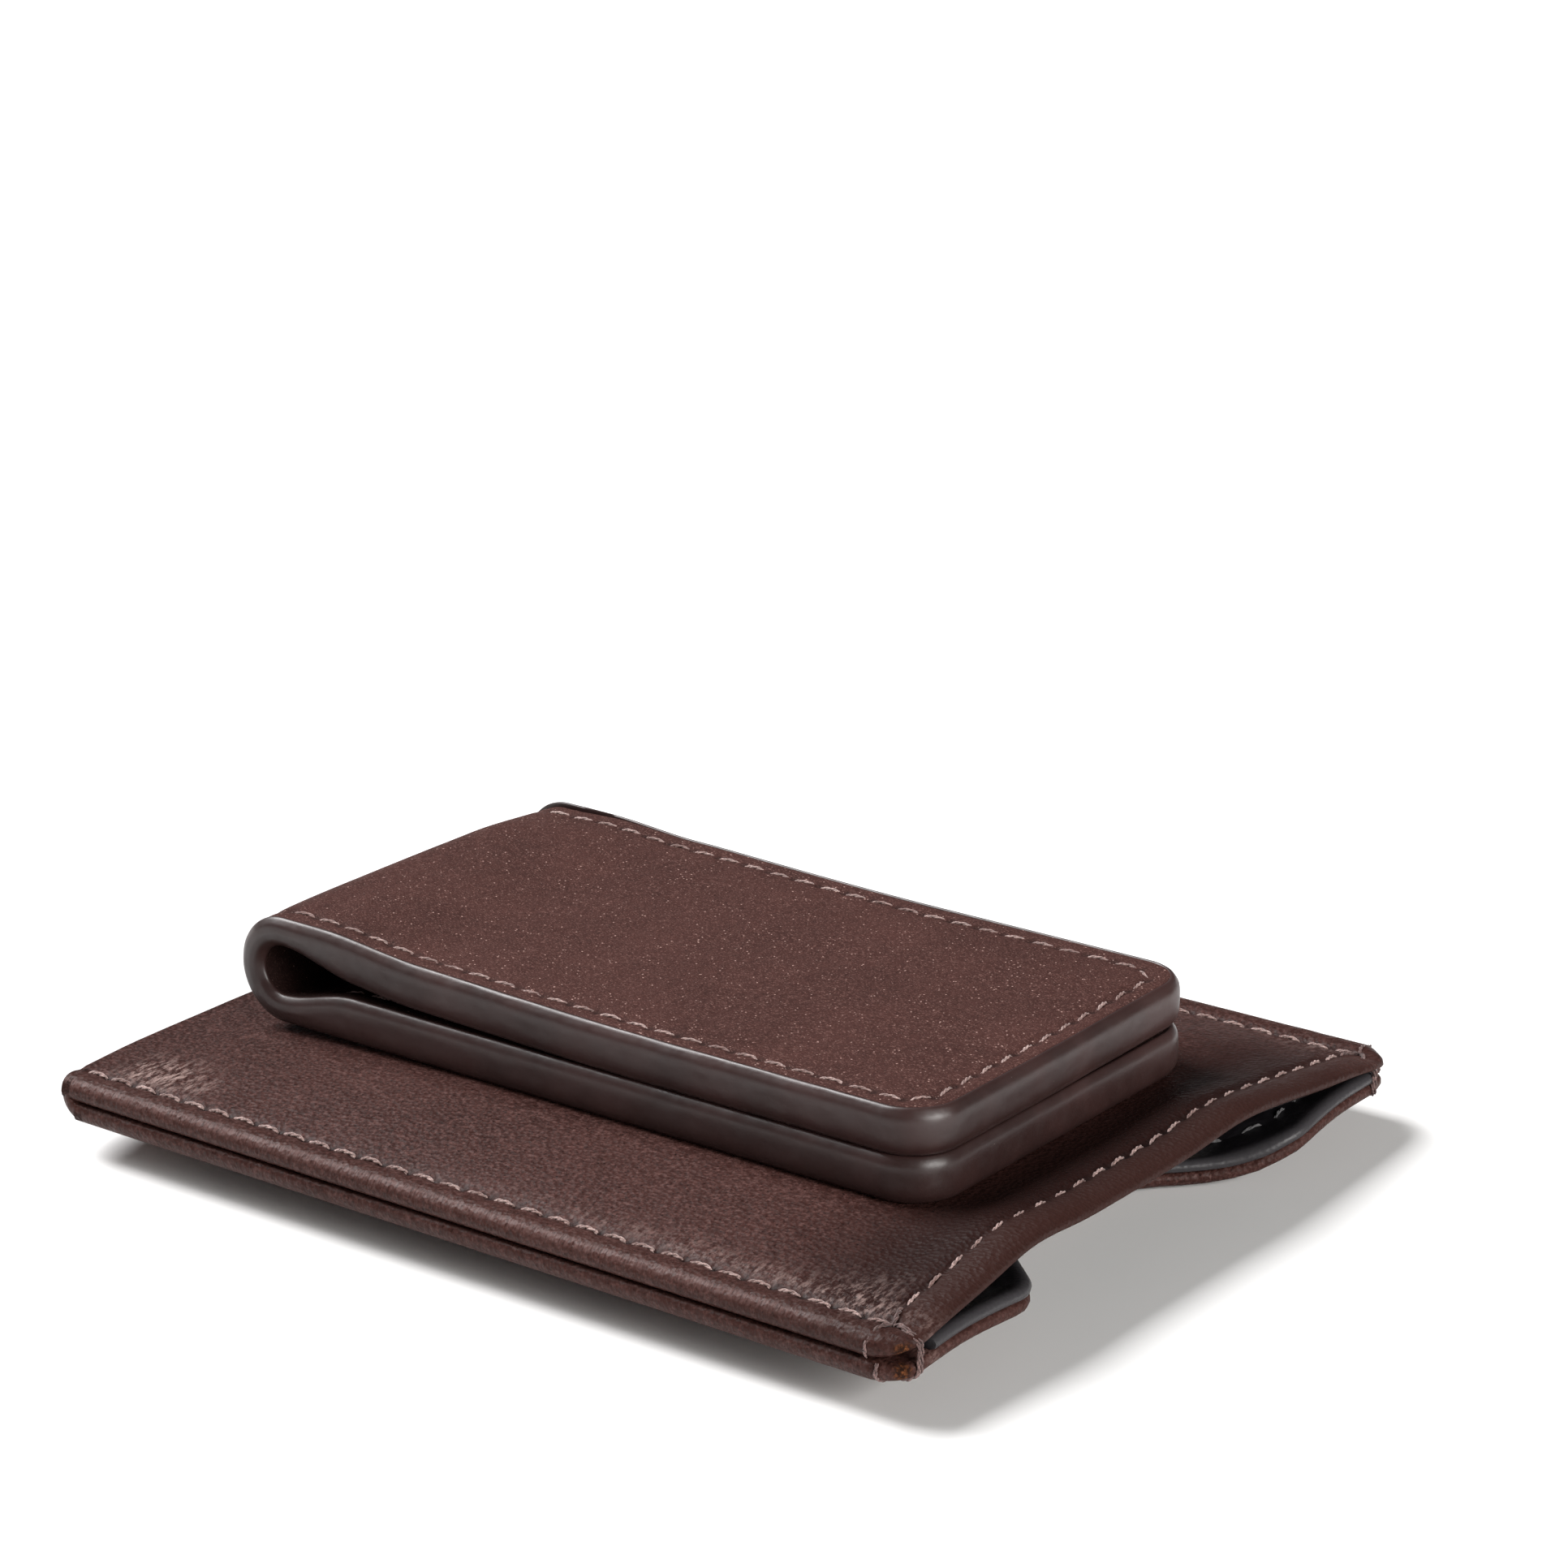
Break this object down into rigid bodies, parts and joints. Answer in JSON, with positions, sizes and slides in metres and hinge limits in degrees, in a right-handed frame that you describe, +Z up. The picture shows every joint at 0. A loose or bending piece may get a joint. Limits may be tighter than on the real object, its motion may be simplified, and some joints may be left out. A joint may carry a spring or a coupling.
{
  "type": "card wallet with magnetic money clip",
  "caption": "Slim leather card wallet: one sewn pocket with a thumb notch and a lined inside, and a folded magnetic money clip that opens on its front panel.",
  "frame": {"origin": "centre of the bounding box, on the surface the back panel lies on", "axes": "+X towards the pocket mouth and the clip's free end, +Y towards the far long side, +Z up out of the front panel"},
  "size_m": [0.1005, 0.0852, 0.0206],
  "materials": {
    "brown_leather": "satin",
    "black_lining": "satin",
    "stiffener_board": "matte",
    "thread": "matte",
    "edge_paint": "gloss",
    "magnet": "satin"
  },
  "bodies": {
    "wallet": {"outer_leather": "brown_leather", "lower_leaf_skin": "brown_leather", "lower_leaf_lining": "brown_leather", "clip_fold_skin": "brown_leather", "clip_fold_lining": "brown_leather", "pocket_lining": "black_lining", "front_stiffener": "stiffener_board", "back_stiffener": "stiffener_board", "lower_leaf_core": "stiffener_board", "near_seam_top_thread": "thread", "near_seam_under_thread": "thread", "far_seam_top_thread": "thread", "far_seam_under_thread": "thread", "near_corner_tack": "thread", "far_corner_tack": "thread", "front_mouth_top_thread": "thread", "front_mouth_inner_thread": "thread", "back_mouth_inner_thread": "thread", "back_mouth_outer_thread": "thread", "lower_leaf_inner_thread": "thread", "lower_leaf_edge_coat": "edge_paint", "clip_fold_edge_near": "edge_paint", "clip_fold_edge_far": "edge_paint", "lower_leaf_magnet_near": "magnet", "lower_leaf_magnet_far": "magnet"},
    "clip_leaf": {"upper_leaf_skin": "brown_leather", "upper_leaf_lining": "brown_leather", "upper_leaf_core": "stiffener_board", "upper_leaf_inner_thread": "thread", "upper_leaf_top_thread": "thread", "upper_leaf_edge_coat": "edge_paint", "upper_leaf_magnet_near": "magnet", "upper_leaf_magnet_far": "magnet"}
  },
  "joints": [
    {"name": "clip_hinge", "type": "hinge", "parent": "wallet", "child": "clip_leaf", "pos_m": [-0.0433, 0, 0.01495], "axis": [0, -1, 0], "range_deg": [0, 150], "deforming": ["clip_fold_skin", "clip_fold_lining", "clip_fold_edge_near", "clip_fold_edge_far"]}
  ]
}
